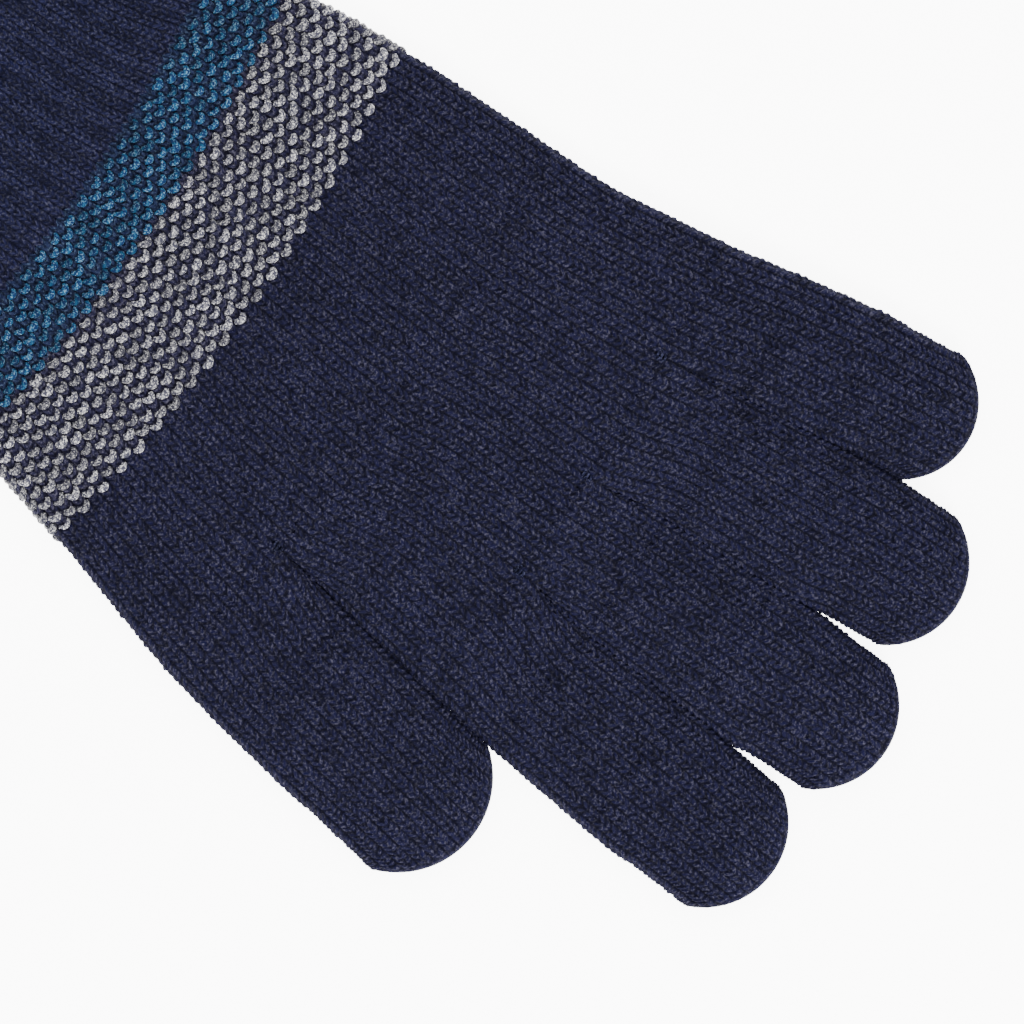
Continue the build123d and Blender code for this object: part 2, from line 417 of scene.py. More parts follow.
def normals_of(surface, place, row, row_limit=None):
    """Outward unit normals of a surface: a small step along the loop crossed with one along the courses."""
    ahead = row + NORMAL_STEP if row_limit is None else np.minimum(row + NORMAL_STEP, row_limit)
    around = surface(place + NORMAL_STEP, row) - surface(place - NORMAL_STEP, row)
    along = surface(place, ahead) - surface(place, row - NORMAL_STEP)
    normal = np.cross(around, along)
    return normal / np.maximum(np.linalg.norm(normal, axis=-1, keepdims=True), 1e-12)


LEVELLING_ROWS = 3.0


def sheared_row(place, row, mouth=None, tip=None):
    """The course height at a point of the grid: lowered along both legs of each stitch by the lean times the
    leg's drop, and level at a mouth or a tip."""
    _, drop = stitch_offset(place)
    lean = np.full(np.shape(row), STITCH_LEAN)
    if mouth is not None:
        lean = lean * eased((row - mouth) / LEVELLING_ROWS)
    if tip is not None:
        lean = lean * eased((tip - row) / LEVELLING_ROWS)
    return row - lean * drop


def add_mesh(name, points, quads, uv, values):
    """A mesh object from arrays in millimetres: quads, their UVs, and named numbers on the points."""
    mesh = bpy.data.meshes.new(name)
    mesh.vertices.add(len(points))
    mesh.vertices.foreach_set("co", (points * MM).astype(np.float32).ravel())
    mesh.loops.add(quads.size)
    mesh.loops.foreach_set("vertex_index", quads.astype(np.int32).ravel())
    mesh.polygons.add(len(quads))
    mesh.polygons.foreach_set("loop_start", np.arange(0, quads.size, 4, dtype=np.int32))
    mesh.update(calc_edges=True)
    mesh.polygons.foreach_set("use_smooth", np.ones(len(quads), bool))
    mesh.uv_layers.new(name="stitches").data.foreach_set("uv", uv.astype(np.float32).ravel())
    for label, numbers in values.items():
        attribute = mesh.attributes.new(label, "FLOAT", "POINT")
        attribute.data.foreach_set("value", numbers.astype(np.float32).ravel())
    mesh.validate()
    piece = bpy.data.objects.new(name, mesh)
    bpy.context.scene.collection.objects.link(piece)
    return piece


def grid_quads(first, rows, columns, flip=False):
    """Quads of a grid that closes on itself across: rows of columns points, counted on from first."""
    line = np.arange(columns)
    ahead = np.roll(line, -1)
    level = first + np.arange(rows - 1)[:, None] * columns
    order = [level + line, level + ahead, level + columns + ahead, level + columns + line]
    if flip:
        order = order[::-1]
    return np.stack(order, axis=-1).reshape(-1, 4)


def grid_uv(places, rows, step, flip=False):
    """UVs of those quads: the wale place, which runs on past the seam, and the course."""
    here = np.broadcast_to(places, (len(rows) - 1, len(places)))
    low = np.broadcast_to(rows[:-1, None], here.shape)
    high = np.broadcast_to(rows[1:, None], here.shape)
    corners = [(here, low), (here + step, low), (here + step, high), (here, high)]
    if flip:
        corners = corners[::-1]
    return np.stack([np.stack(pair, axis=-1) for pair in corners], axis=2).reshape(-1, 2)


COLUMNS_PER_WALE = 8
LINES_PER_COURSE = 4
INSIDE_LINE_COURSES = 2
WALL = 1.2
TABLE_CLEARANCE = 0.02
TIP_CALM_ROWS = 1.5
MOUTH_CALM_ROWS = 2.0
RIM_UV_HEIGHT = 0.3
INSIDE_PAINTED_SHADE = 0.4
MOST_LOFT = 1.2


def knit_tube(name, surface, wales, rows, relief, seed, mouth=None, tip=None):
    """A stretch of knitted tube with its outer stitches, a plain inner face and rims. Each outer point is
    the surface at its sheared course, pushed out along the normal by the relief. The inner face lies WALL
    inside. At a tip the last course's upper and lower points are one, which closes it."""
    loop = int(round(2 * wales))
    columns = loop * COLUMNS_PER_WALE
    places = np.arange(columns) / COLUMNS_PER_WALE
    levels = np.linspace(rows[0], rows[1], int(round((rows[1] - rows[0]) * LINES_PER_COURSE)) + 1)
    place, level = np.meshgrid(places, levels)
    row = sheared_row(place, level, mouth, tip)
    if tip is not None:
        row = np.minimum(row, tip)
    randoms = Randoms(seed, 2 * loop, rows[0], rows[1])
    flat = surface(place, row)
    normal = normals_of(surface, place, row, tip)
    height, shade = relief(place, level, randoms)
    if tip is not None:
        height = height * eased((tip - level) / TIP_CALM_ROWS)
    if mouth is not None:
        height = height * eased((level - mouth) / MOUTH_CALM_ROWS)
    outer = flat + normal * (height * STITCH_DEPTH)[..., None]
    outer[..., 2] = np.maximum(outer[..., 2], TABLE_CLEARANCE)
    every = INSIDE_LINE_COURSES * LINES_PER_COURSE
    kept = np.unique(np.append(np.arange(0, len(levels), every), len(levels) - 1))
    inner = flat[kept] - normal[kept] * WALL
    count = outer.shape[0] * columns
    inner_last = count + (len(kept) - 1) * columns
    quads = [grid_quads(0, len(levels), columns), grid_quads(count, len(kept), columns, flip=True)]
    step = 1.0 / COLUMNS_PER_WALE
    uvs = [grid_uv(places, levels, step), grid_uv(places, levels[kept], step, flip=True)]
    line = np.arange(columns)
    ahead = np.roll(line, -1)
    rims = [(0, count, levels[0], False)]
    if tip is None:
        rims.append((count - columns, inner_last, levels[-1], True))
    for outer_start, inner_start, at_row, far in rims:
        order = [inner_start + line, inner_start + ahead, outer_start + ahead, outer_start + line]
        if far:
            order = order[::-1]
        quads.append(np.stack(order, axis=-1))
        rim_row = at_row + RIM_UV_HEIGHT
        around = [(places, at_row), (places + step, at_row), (places + step, rim_row), (places, rim_row)]
        corners = [np.stack([u, np.full(columns, v)], axis=-1) for u, v in around]
        uvs.append(np.stack(corners, axis=1).reshape(-1, 2))
    quads = np.concatenate(quads)
    points = np.concatenate([outer.reshape(-1, 3), inner.reshape(-1, 3)])
    if tip is not None:
        mirrored = np.where(line > columns // 2, columns - line, line)
        same = np.arange(len(points))
        same[count - columns : count] = count - columns + mirrored
        same[inner_last : inner_last + columns] = inner_last + mirrored
        quads = same[quads]
    # The inner face gets one fixed value of painted shade.
    painted_shade_and_tone = np.concatenate([shade.ravel(), np.full(inner.shape[0] * columns, INSIDE_PAINTED_SHADE)])
    used, quads = np.unique(quads, return_inverse=True)
    values = {"painted_shade_and_tone": np.clip(painted_shade_and_tone, 0.0, MOST_LOFT)[used]}
    return add_mesh(name, points[used], quads.reshape(-1, 4), np.concatenate(uvs), values)


def dress(piece, material, node):
    """Gives a piece its material and hides the CAD part of the frame's node that it stands for."""
    piece.data.materials.append(material)
    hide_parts(node)


class Signal:
    """A value on its way through a material. + - * on it add Math nodes, in either order."""

    def __init__(self, recipe, socket):
        """Keeps the recipe that it belongs to and the socket that it comes from."""
        self.recipe = recipe
        self.socket = socket

    def join(self, operation, first, second):
        """One Math node on two values, of which at least one is a signal."""
        return self.recipe.node("ShaderNodeMath", {"operation": operation}, {0: first, 1: second})

    def __add__(self, other):
        return self.join("ADD", self, other)

    def __radd__(self, other):
        return self.join("ADD", other, self)

    def __sub__(self, other):
        return self.join("SUBTRACT", self, other)

    def __rsub__(self, other):
        return self.join("SUBTRACT", other, self)

    def __mul__(self, other):
        return self.join("MULTIPLY", self, other)

    def __rmul__(self, other):
        return self.join("MULTIPLY", other, self)


WOOL_GLOSS = 0.06
SHEEN = 0.04
SHEEN_ROUGHNESS = 0.55


class Recipe:
    """One material being made up from nodes, for matt wool with a faint sheen."""

    def __init__(self, name, roughness, sheen_tint):
        """Sets what is the same all over on the shader's own sockets."""
        self.material = bpy.data.materials.new(name)
        self.material.use_nodes = True
        self.tree = self.material.node_tree
        self.shader = self.tree.nodes["Principled BSDF"]
        set_sockets(self.shader, {"Roughness": roughness, "Specular IOR Level": WOOL_GLOSS})
        set_sockets(self.shader, {"Sheen Weight": SHEEN, "Sheen Roughness": SHEEN_ROUGHNESS})
        set_sockets(self.shader, {"Sheen Tint": (*sheen_tint, 1.0)})

    def node(self, kind, settings, values, output=0):
        """Adds a node: its settings first, then a value or a link for each input."""
        made = self.tree.nodes.new(kind)
        for key, value in settings.items():
            setattr(made, key, value)
        for key, value in values.items():
            if isinstance(value, Signal):
                self.tree.links.new(value.socket, made.inputs[key])
            else:
                made.inputs[key].default_value = value
        return Signal(self, made.outputs[output])

    def span(self, value, source, target=(0.0, 1.0)):
        """A value carried smoothly from one range to another and held at the ends."""
        ranges = {"From Min": source[0], "From Max": source[1], "To Min": target[0], "To Max": target[1]}
        settings = {"interpolation_type": "SMOOTHSTEP"}
        return self.node("ShaderNodeMapRange", settings, {"Value": value, **ranges})

    def blend(self, share, first, second, mode="MIX"):
        """Two colours mixed by a share. A Mix node's colours go in at 6 and 7 and come out at 2."""
        inputs = {0: share, 6: first, 7: second}
        return self.node("ShaderNodeMix", {"data_type": "RGBA", "blend_type": mode}, inputs, output=2)

    def shaded(self, colour, shade):
        """A colour multiplied by one number, the same for red, green and blue."""
        grey = self.node("ShaderNodeCombineColor", {}, {0: shade, 1: shade, 2: shade})
        return self.blend(1.0, colour, grey, mode="MULTIPLY")

    def noise(self, vector, scale, detail, stretch=(1.0, 1.0, 1.0)):
        """Soft noise on a stretched coordinate."""
        stretched = self.node("ShaderNodeVectorMath", {"operation": "MULTIPLY"}, {0: vector, 1: stretch})
        return self.node("ShaderNodeTexNoise", {}, {"Vector": stretched, "Scale": scale, "Detail": detail})

    def finished(self, colour, height, strength, distance):
        """Gives the shader its colour and a bump of that height, and hands over the material."""
        bump_values = {"Strength": strength, "Distance": distance, "Height": height}
        bump = self.node("ShaderNodeBump", {}, bump_values)
        self.tree.links.new(colour.socket, self.shader.inputs["Base Color"])
        self.tree.links.new(bump.socket, self.shader.inputs["Normal"])
        return self.material


# Noise on the UVs is counted to the wale and course, and noise on Object coordinates to the metre.
# A bump is its strength and its height in metres.
WOOL_ROUGHNESS = 0.92
STREAK_STRETCH = (3.6, 5.0, 1.0)
STREAK_RANGE = (0.36, 0.64)
STREAK_HEIGHT = 0.5
FIBRE_SCALE = 2500.0
FIBRE_DETAIL = 3.0
FIBRE_HEIGHT = 0.7
FLECK_RANGE = (0.5, 0.68)
FLECK_SHARE = 0.6
BLOTCH_SCALE = 95.0
BLOTCH_DETAIL = 2.0
BLOTCH_RANGE = (0.3, 0.7)
BLOTCH_SHADE = (0.93, 1.07)
# Painted shade: the hollows between stitches are coloured darker and the stitches' tops lighter, up to this
# share of the colour.
FULL_LOFT_SHADE = 1.25
WOOL_BUMP = (0.55, 0.00022)


def wool(name, deep, middle, pale, hollow_shade):
    """Heathered wool. Colour: deep and middle mixed by streaks that run along the stitch's legs, with pale
    flecks where a fine noise peaks, times a painted shade from the stitches' height and random tone, dark in
    the hollows between stitches and lighter on their tops, times wide soft blotches. Bump: the same streaks
    and fibres."""
    recipe = Recipe(name, WOOL_ROUGHNESS, pale)
    stitches = recipe.node("ShaderNodeUVMap", {"uv_map": "stitches"}, {})
    place = recipe.node("ShaderNodeTexCoord", {}, {}, output="Object")
    painted_shade_and_tone = recipe.node("ShaderNodeAttribute", {"attribute_name": "painted_shade_and_tone"}, {}, output="Fac")
    streaks = recipe.noise(stitches, 1.0, FIBRE_DETAIL, STREAK_STRETCH)
    fibres = recipe.noise(place, FIBRE_SCALE, FIBRE_DETAIL)
    blotches = recipe.noise(place, BLOTCH_SCALE, BLOTCH_DETAIL)
    colour = recipe.blend(recipe.span(streaks, STREAK_RANGE), (*deep, 1.0), (*middle, 1.0))
    flecks = recipe.span(fibres, FLECK_RANGE, (0.0, FLECK_SHARE))
    colour = recipe.blend(flecks, colour, (*pale, 1.0))
    painted_shade = recipe.span(painted_shade_and_tone, (0.0, 1.0), (hollow_shade, FULL_LOFT_SHADE))
    shade = painted_shade * recipe.span(blotches, BLOTCH_RANGE, BLOTCH_SHADE)
    height = streaks * STREAK_HEIGHT + fibres * FIBRE_HEIGHT
    return recipe.finished(recipe.shaded(colour, shade), height, *WOOL_BUMP)


# The last number is the painted shade in the hollows between the stitches.
navy_wool = wool("navy_wool", (0.0019, 0.0019, 0.0125), (0.0071, 0.0070, 0.018), (0.041, 0.039, 0.056), 0.32)

# The whole tube from cuff to thumb crotch is the trunk. Above the crotch the hand goes on without
# the thumb's wales. A warp is knots of wale and shift, and the two courses between which it comes in.
GREY_ROWS = (-18, -1)
CROTCH_ROW = 22
KNUCKLE_ROW = 49
trunk_warp = warped_wales(TRUNK_WALES, [(0.0, 0.0), (34.0, -0.7), (45.0, 0.0)], (6.0, 22.0))
trunk = straight_tube(soft_side(LITTLE_SIDE), soft_side(THUMB_SIDE), TRUNK_WALES, HAND_CROWN, trunk_warp)

INDEX_SIDE = [(THUMB_CROTCH[1] - 20.0, THUMB_CROTCH[0] - 3.0), (64.0, 35.0), (110.0, 39.0)]
UPPER_COLUMNS = (0, 34)
UPPER_WEBS = (0, 4)
UPPER_WALES = wales_of(UPPER_COLUMNS, UPPER_WEBS)
UPPER_KNOTS = [(0.0, 0.0), (9.0, -0.15), (18.0, 0.1), (26.0, -0.2), (36.0, 0.0)]
upper_warp = warped_wales(UPPER_WALES, UPPER_KNOTS, (30.0, 49.0))
upper_own = straight_tube(soft_side(LITTLE_SIDE), soft_side(INDEX_SIDE), UPPER_WALES, HAND_CROWN, upper_warp)
upper_hand = grown_from(trunk, TRUNK_WALES, UPPER_COLUMNS, UPPER_WEBS, CROTCH_ROW, upper_own)

hand_lower = knit_tube("hand_lower", trunk, TRUNK_WALES, (GREY_ROWS[1], CROTCH_ROW), jersey_relief, 11)
hand_upper = knit_tube("hand_upper", upper_hand, UPPER_WALES, (CROTCH_ROW, KNUCKLE_ROW), jersey_relief, 12)
for piece in (hand_lower, hand_upper):
    dress(piece, navy_wool, "hand")
    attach(piece, "palm")

# --------------------
# The four fingers: each a narrow tube of the same jersey, knitted on from the hand with a
# few web stitches at every crotch, and drawn to a round tip. Three stretches, parted at the knuckles.
KNUCKLES_Y = joints["ring_base_fold"]["pos_m"][1] / MM
# Where the fingers part, level with the knuckles: X, and how many degrees the parting leans.
PARTINGS = [(-59.8, -11.7), (-37.2, -7.6), (-12.5, -4.0), (10.3, 1.4), (35.0, 4.9)]
FINGER_CROWN = 1.8
SIDE_PRESS = 0.4
TIP_SHIFT = {"little": -0.1, "ring": 0.3, "middle": 0.25, "index": -0.05}
TIP_TAPER = {"little": 0.01, "ring": 0.04, "middle": 0.036, "index": 0.03}
TIP_EXTRA = 0.4
TIP_RUN = 0.78
TIP_SPREAD = math.radians(29.5)
END_MIXING = 6.0
TINY_DEPTH = 1e-9
# For each finger: the hand's wales that it goes on from, and the web wales on its two sides.
FINGERS = {
    "little": ((0, 9), (0, 2)),
    "ring": ((9, 18), (2, 4)),
    "middle": ((18, 26), (2, 4)),
    "index": ((26, 36), (4, 0)),
}
BASE_BEND = (0.8, 10.5)
KNUCKLE_BEND = (-5.5, 5.5)


def rounded_end(straight, wales, centre, radius, crown, taper):
    """A finger's own surface. Below its end it is the straight tube. In the end the sides draw in a little
    up to two soft corners, and each course bows up until the last one is the arc of the tip circle between
    them. Along the middle the courses are evenly spaced on the surface, over the closing fold too."""
    out = np.array([centre[0] - FAN_CENTRE[0], centre[1] - FAN_CENTRE[1]])
    reach = np.linalg.norm(out)
    up = out / reach
    right = np.array([up[1], -up[0]])
    run = TIP_RUN * radius
    start_row = (reach - run + FAN_CENTRE[1]) / COURSE_HEIGHT
    length = radius + run + (math.pi / 2 - 1.0) * EDGE_RADIUS
    last_row = float(round(start_row + length / COURSE_HEIGHT))
    low, flat_edge = math.sin(TIP_SPREAD), math.cos(TIP_SPREAD)
    corner_half, corner_v = radius * flat_edge, radius * low
    foot_half = corner_half + taper * (corner_v + run)
    slow = length / math.hypot(foot_half - corner_half, corner_v + run) - 1.0

    def surface(place, row):
        """Points of the straight tube mixed into those of the end, v along the finger and h across it."""
        place, row = np.broadcast_arrays(place, row)
        done = np.clip((row - start_row) / (last_row - start_row), 0.0, 1.0)
        middle_v = radius - plan_of_arc((1.0 - done) * length)
        path = done * (1.0 + slow) - slow * done**2
        edge_v = (corner_v + run) * path - run
        half = foot_half + (corner_half - foot_half) * path
        share, upper = across_share(place, wales, 2.0 * half)
        across = share * 2.0 - 1.0
        bow = (np.sqrt(1.0 - (flat_edge * across) ** 2) - low) / (1.0 - low)
        v = edge_v + (middle_v - edge_v) * bow
        h = half * across
        from_side = foot_half - taper * (v + run) - np.abs(h)
        from_arc = radius - np.where(v < 0.0, 0.0, np.hypot(h, v))
        depth = np.minimum(from_side, from_arc)
        depth = np.where(depth < TINY_DEPTH, 0.0, depth)
        x = centre[0] + right[0] * h + up[0] * v
        y = centre[1] + right[1] * h + up[1] * v
        ended = lifted(x, y, depth, upper, crown)
        mixed = eased((row - start_row) / END_MIXING)[..., None]
        return straight(place, np.minimum(row, start_row + END_MIXING)) * (1.0 - mixed) + ended * mixed

    return surface, last_row


def tip_circle(left, right, top, shift, taper):
    """Centre and radius of the circle that reaches a finger's highest Y and whose corners, drawn in by the
    taper, start from the finger's own width. The radius and that width are worked out in turn a few times.
    The circle then sits off the finger's middle by the shift, away from the thumb where that is positive."""
    left_slope, right_slope = (math.tan(math.radians(side[1])) for side in (left, right))
    radius = (right[0] - left[0]) / 2
    for _ in range(6):
        rise = top - (1.0 + TIP_RUN) * radius - KNUCKLES_Y
        width = right[0] - left[0] + rise * (right_slope - left_slope)
        lean = math.cos(math.atan((left_slope + right_slope) / 2))
        drawn_in = taper * (math.sin(TIP_SPREAD) + TIP_RUN)
        radius = width / 2 * lean / (math.cos(TIP_SPREAD) + drawn_in)
    middle_y = top - radius
    middle_x = (left[0] + right[0] + (middle_y - KNUCKLES_Y) * (left_slope + right_slope)) / 2 - shift
    return (middle_x, middle_y), radius


def row_at(x, y):
    """The course through a point: how much farther it is from the fan's centre than Y 0 is, in courses."""
    return (math.hypot(x - FAN_CENTRE[0], y - FAN_CENTRE[1]) + FAN_CENTRE[1]) / COURSE_HEIGHT


def joint_y(name):
    """Y of a joint, in millimetres."""
    return joints[name]["pos_m"][1] / MM


def bend_piece(piece, first_body, second_body, centre, direction, before, after):
    """Bakes a piece's placement into its mesh. It works out the two ends of a bend along a direction in
    plan, from before to after a point, but bends nothing, and the two bodies are not used.
    """
    start = [(c + d * before) * MM for c, d in zip(centre, direction)]
    end = [(c + d * after) * MM for c, d in zip(centre, direction)]
    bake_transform(piece)


for number, (finger, (columns, webs)) in enumerate(FINGERS.items()):
    left, right = PARTINGS[number], PARTINGS[number + 1]
    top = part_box(f"{finger}_tip")[1].y / MM + TIP_EXTRA
    taper = TIP_TAPER[finger]
    centre, radius = tip_circle(left, right, top, TIP_SHIFT[finger], taper)
    wales = wales_of(columns, webs)
    left_side = leaning_side((left[0] - SIDE_PRESS, KNUCKLES_Y), left[1])
    right_side = leaning_side((right[0] + SIDE_PRESS, KNUCKLES_Y), right[1])
    plain = straight_tube(left_side, right_side, wales, FINGER_CROWN)
    own, last_row = rounded_end(plain, wales, centre, radius, FINGER_CROWN, taper)
    finger_surface = grown_from(upper_hand, UPPER_WALES, columns, webs, KNUCKLE_ROW, own)
    base_y, middle_y, end_y = (joint_y(f"{finger}_{part}_fold") for part in ("base", "middle", "end"))
    cut_heights = ((base_y + BASE_BEND[1] + middle_y + KNUCKLE_BEND[0]) / 2, (middle_y + end_y) / 2)
    cuts = [round(row_at(centre[0], height)) for height in cut_heights]
    # For each stretch: its courses, the body below its bend, and where and how far it bends.
    stretches = {
        "base": ((KNUCKLE_ROW, cuts[0]), "palm", base_y, BASE_BEND),
        "middle": ((cuts[0], cuts[1]), f"{finger}_base", middle_y, KNUCKLE_BEND),
        "tip": ((cuts[1], last_row), f"{finger}_middle", end_y, KNUCKLE_BEND),
    }
    for part, (span, below, bend_y, reach) in stretches.items():
        closing = last_row if part == "tip" else None
        name = f"{finger}_{part}_knit"
        piece = knit_tube(name, finger_surface, wales, span, jersey_relief, 20 + number, tip=closing)
        dress(piece, navy_wool, f"{finger}_{part}")
        bend_piece(piece, below, f"{finger}_{part}", (centre[0], bend_y), (0.0, 1.0), *reach)

# --------------------
# The thumb: a wider tube of jersey that leaves the side of the hand at its own crotch,
# leans away from the index finger and ends in the same round closing.
THUMB_COLUMNS = (34, 45)
THUMB_WEBS = (4, 0)
THUMB_WALES = wales_of(THUMB_COLUMNS, THUMB_WEBS)
THUMB_TIP_SHIFT = -0.15
THUMB_TIP_FULLNESS = 0.15
THUMB_TAPER = 0.0
THUMB_CUT_SHARES = (0.45, 0.55)
THUMB_BASE_BEND = (0.6, 12.0)
THUMB_KNUCKLE_BEND = (-6.0, 6.0)
thumb_up = (math.sin(math.radians(THUMB_LEAN)), math.cos(math.radians(THUMB_LEAN)))
thumb_across = (thumb_up[1], -thumb_up[0])
thumb_radius = (THUMB_WIDTH / 2 + THUMB_TIP_FULLNESS) / math.cos(TIP_SPREAD)
thumb_reach = THUMB_LENGTH - thumb_radius
thumb_centre = [
    (crotch + outer) / 2 + up * thumb_reach + across * THUMB_TIP_SHIFT
    for crotch, outer, up, across in zip(THUMB_CROTCH, THUMB_OUTER, thumb_up, thumb_across)
]
thumb_left = leaning_side((THUMB_CROTCH[0] - SIDE_PRESS, THUMB_CROTCH[1]), THUMB_LEAN)
thumb_right = leaning_side((THUMB_OUTER[0] + SIDE_PRESS, THUMB_OUTER[1]), THUMB_LEAN)
thumb_plain = straight_tube(thumb_left, thumb_right, THUMB_WALES, FINGER_CROWN)
thumb_own, thumb_last = rounded_end(
    thumb_plain, THUMB_WALES, thumb_centre, thumb_radius, FINGER_CROWN, THUMB_TAPER
)
thumb_surface = grown_from(trunk, TRUNK_WALES, THUMB_COLUMNS, THUMB_WEBS, CROTCH_ROW, thumb_own)
thumb_hinge = [value / MM for value in joints["thumb_base_fold"]["pos_m"][:2]]
thumb_knuckle = [value / MM for value in joints["thumb_end_fold"]["pos_m"][:2]]
near, far = THUMB_CUT_SHARES
thumb_cut = round(row_at(*[a * near + b * far for a, b in zip(thumb_hinge, thumb_knuckle)]))
for part, span, below, bend_at, reach, closing in (
    ("base", (CROTCH_ROW, thumb_cut), "palm", thumb_hinge, THUMB_BASE_BEND, None),
    ("tip", (thumb_cut, thumb_last), "thumb_base", thumb_knuckle, THUMB_KNUCKLE_BEND, thumb_last),
):
    piece = knit_tube(f"thumb_{part}_knit", thumb_surface, THUMB_WALES, span, jersey_relief, 30, tip=closing)
    dress(piece, navy_wool, f"thumb_{part}")
    bend_piece(piece, below, f"thumb_{part}", bend_at, thumb_up, *reach)

# --------------------
# The grey and the teal band: the tube goes on in navy, and on every other wale of every other
# course a stitch of pale two-ply yarn stands on it, a bird's-eye of small arches.
TEAL_ROWS = (-28, -18)
WRIST_BEND = (6.0, -6.0)
YARN_SIDES = 6
ARCH_POINTS = 9
ARCH_SPAN = 0.88
ARCH_DROP = 0.74
ARCH_RAISE = 0.12
ARCH_LIFT = 0.3
ARCH_SEAT = 0.75
LEG_SINK = 0.35
GREY_YARN_RADIUS = 0.72
TEAL_YARN_RADIUS = 0.66
# How widely each of these differs from stitch to stitch.
SPAN_SPREAD = 0.07
SHIFT_SPREAD = 0.08
DROP_SPREAD = 0.15
SKEW_SPREAD = 0.25
LIFT_SPREAD = 0.12
RADIUS_SPREAD = 0.1
COVERED_HEIGHT = 0.75
BAND_LOFT = 1.15


def yarn_tubes(name, paths, outward, radius, tints):
    """Short lengths of yarn: a six-sided ring about each path point, square to the path, with closed ends.
    The UV runs along the yarn in millimetres and once around it."""
    along = np.gradient(paths, axis=1)
    along = along / np.linalg.norm(along, axis=-1, keepdims=True)
    side = np.cross(along, outward)
    side = side / np.linalg.norm(side, axis=-1, keepdims=True)
    lift = np.cross(side, along)
    count, steps, _ = paths.shape
    angle = np.arange(YARN_SIDES) * 2.0 * math.pi / YARN_SIDES
    ring = lift[:, :, None, :] * np.cos(angle)[:, None] + side[:, :, None, :] * np.sin(angle)[:, None]
    points = paths[:, :, None, :] + ring * radius[..., None, None]
    points[..., 2] = np.maximum(points[..., 2], TABLE_CLEARANCE)
    start = (np.arange(count) * steps * YARN_SIDES)[:, None, None]
    level = (np.arange(steps - 1) * YARN_SIDES)[None, :, None]
    line = np.arange(YARN_SIDES)
    ahead = np.roll(line, -1)
    base = start + level
    order = [base + line, base + ahead, base + YARN_SIDES + ahead, base + YARN_SIDES + line]
    quads = np.stack(order, axis=-1).reshape(-1, 4)
    lengths = np.cumsum(np.linalg.norm(np.diff(paths, axis=1), axis=-1), axis=1)
    lengths = np.concatenate([np.zeros((count, 1)), lengths], axis=1)
    low = np.broadcast_to(lengths[:, :-1, None], (count, steps - 1, YARN_SIDES))
    high = np.broadcast_to(lengths[:, 1:, None], low.shape)
    round_low = np.broadcast_to(line / YARN_SIDES, low.shape)
    round_high = round_low + 1.0 / YARN_SIDES
    corners = [(low, round_low), (low, round_high), (high, round_high), (high, round_low)]
    uv = np.stack([np.stack(pair, axis=-1) for pair in corners], axis=3).reshape(-1, 2)
    first = start[:, :, 0]
    last = first + (steps - 1) * YARN_SIDES
    caps = [first + [3, 2, 1, 0], first + [5, 4, 3, 0], last + [0, 1, 2, 3], last + [0, 3, 4, 5]]
    caps = np.concatenate(caps)
    quads = np.concatenate([quads, caps])
    uv = np.concatenate([uv, np.zeros((len(caps) * 4, 2))])
    tint = np.broadcast_to(tints[:, None, None], (count, steps, YARN_SIDES))
    return add_mesh(name, points.reshape(-1, 3), quads, uv, {"tint": tint})


def arch_stitches(name, surface, wales, rows, seed, yarn_radius):
    """One arch of yarn in each stitch where wale plus course is even. Its middle rises off the cloth by a
    cosine across the wale. Its legs go down by the square of the way out, get thinner and sink in."""
    random = np.random.default_rng(seed)
    wale, course = np.meshgrid(np.arange(2 * wales), np.arange(rows[0] + 1, rows[1] + 1))
    chosen = (wale + course) % 2 == 0
    wale, course = wale[chosen][:, None], course[chosen][:, None]
    each = (len(wale), 1)
    across = np.linspace(-0.5, 0.5, ARCH_POINTS)[None, :] * random.normal(ARCH_SPAN, SPAN_SPREAD, each)
    shift = random.normal(0.0, SHIFT_SPREAD, each)
    drop = ARCH_DROP * random.normal(1.0, DROP_SPREAD, each) * (2.0 * across) ** 2
    drop = drop + random.normal(0.0, SKEW_SPREAD, each) * across
    place = wale + 0.5 + across + shift * 0.5
    row = course - drop + ARCH_RAISE + shift
    arch = np.cos(across * math.pi)
    rise = ARCH_LIFT * (arch - LEG_SINK) * random.normal(1.0, LIFT_SPREAD, each)
    normal = normals_of(surface, place, row)
    paths = surface(place, row) + normal * (STITCH_DEPTH * ARCH_SEAT + rise)[..., None]
    radius = yarn_radius * (0.5 + 0.5 * arch) * random.normal(1.0, RADIUS_SPREAD, each)
    return yarn_tubes(name, paths, normal, radius, random.random(len(wale)))


def band_relief(place, row, randoms):
    """The navy ground of a band: the same jersey, lower by a fixed share where the pale arches cover it."""
    covered = np.mod(np.floor(place) + np.round(row), 2) == 0
    height, painted_shade_and_tone = jersey_relief(place, row, randoms)
    return height * np.where(covered, COVERED_HEIGHT, 1.0), painted_shade_and_tone * BAND_LOFT


YARN_ROUGHNESS = 0.85
PLIES = 2.0
PLY_TWIST = 5.5
PLY_RAGGEDNESS = 7.0
PLY_RANGE = (-0.8, 1.3)
PLY_HEIGHT = 0.35
YARN_FIBRE_SCALE = 3200.0
YARN_FLECK_RANGE = (0.52, 0.67)
YARN_FLECK_SHARE = 0.9
TINT_SHADE = (0.62, 1.25)
YARN_BUMP = (0.6, 0.0002)


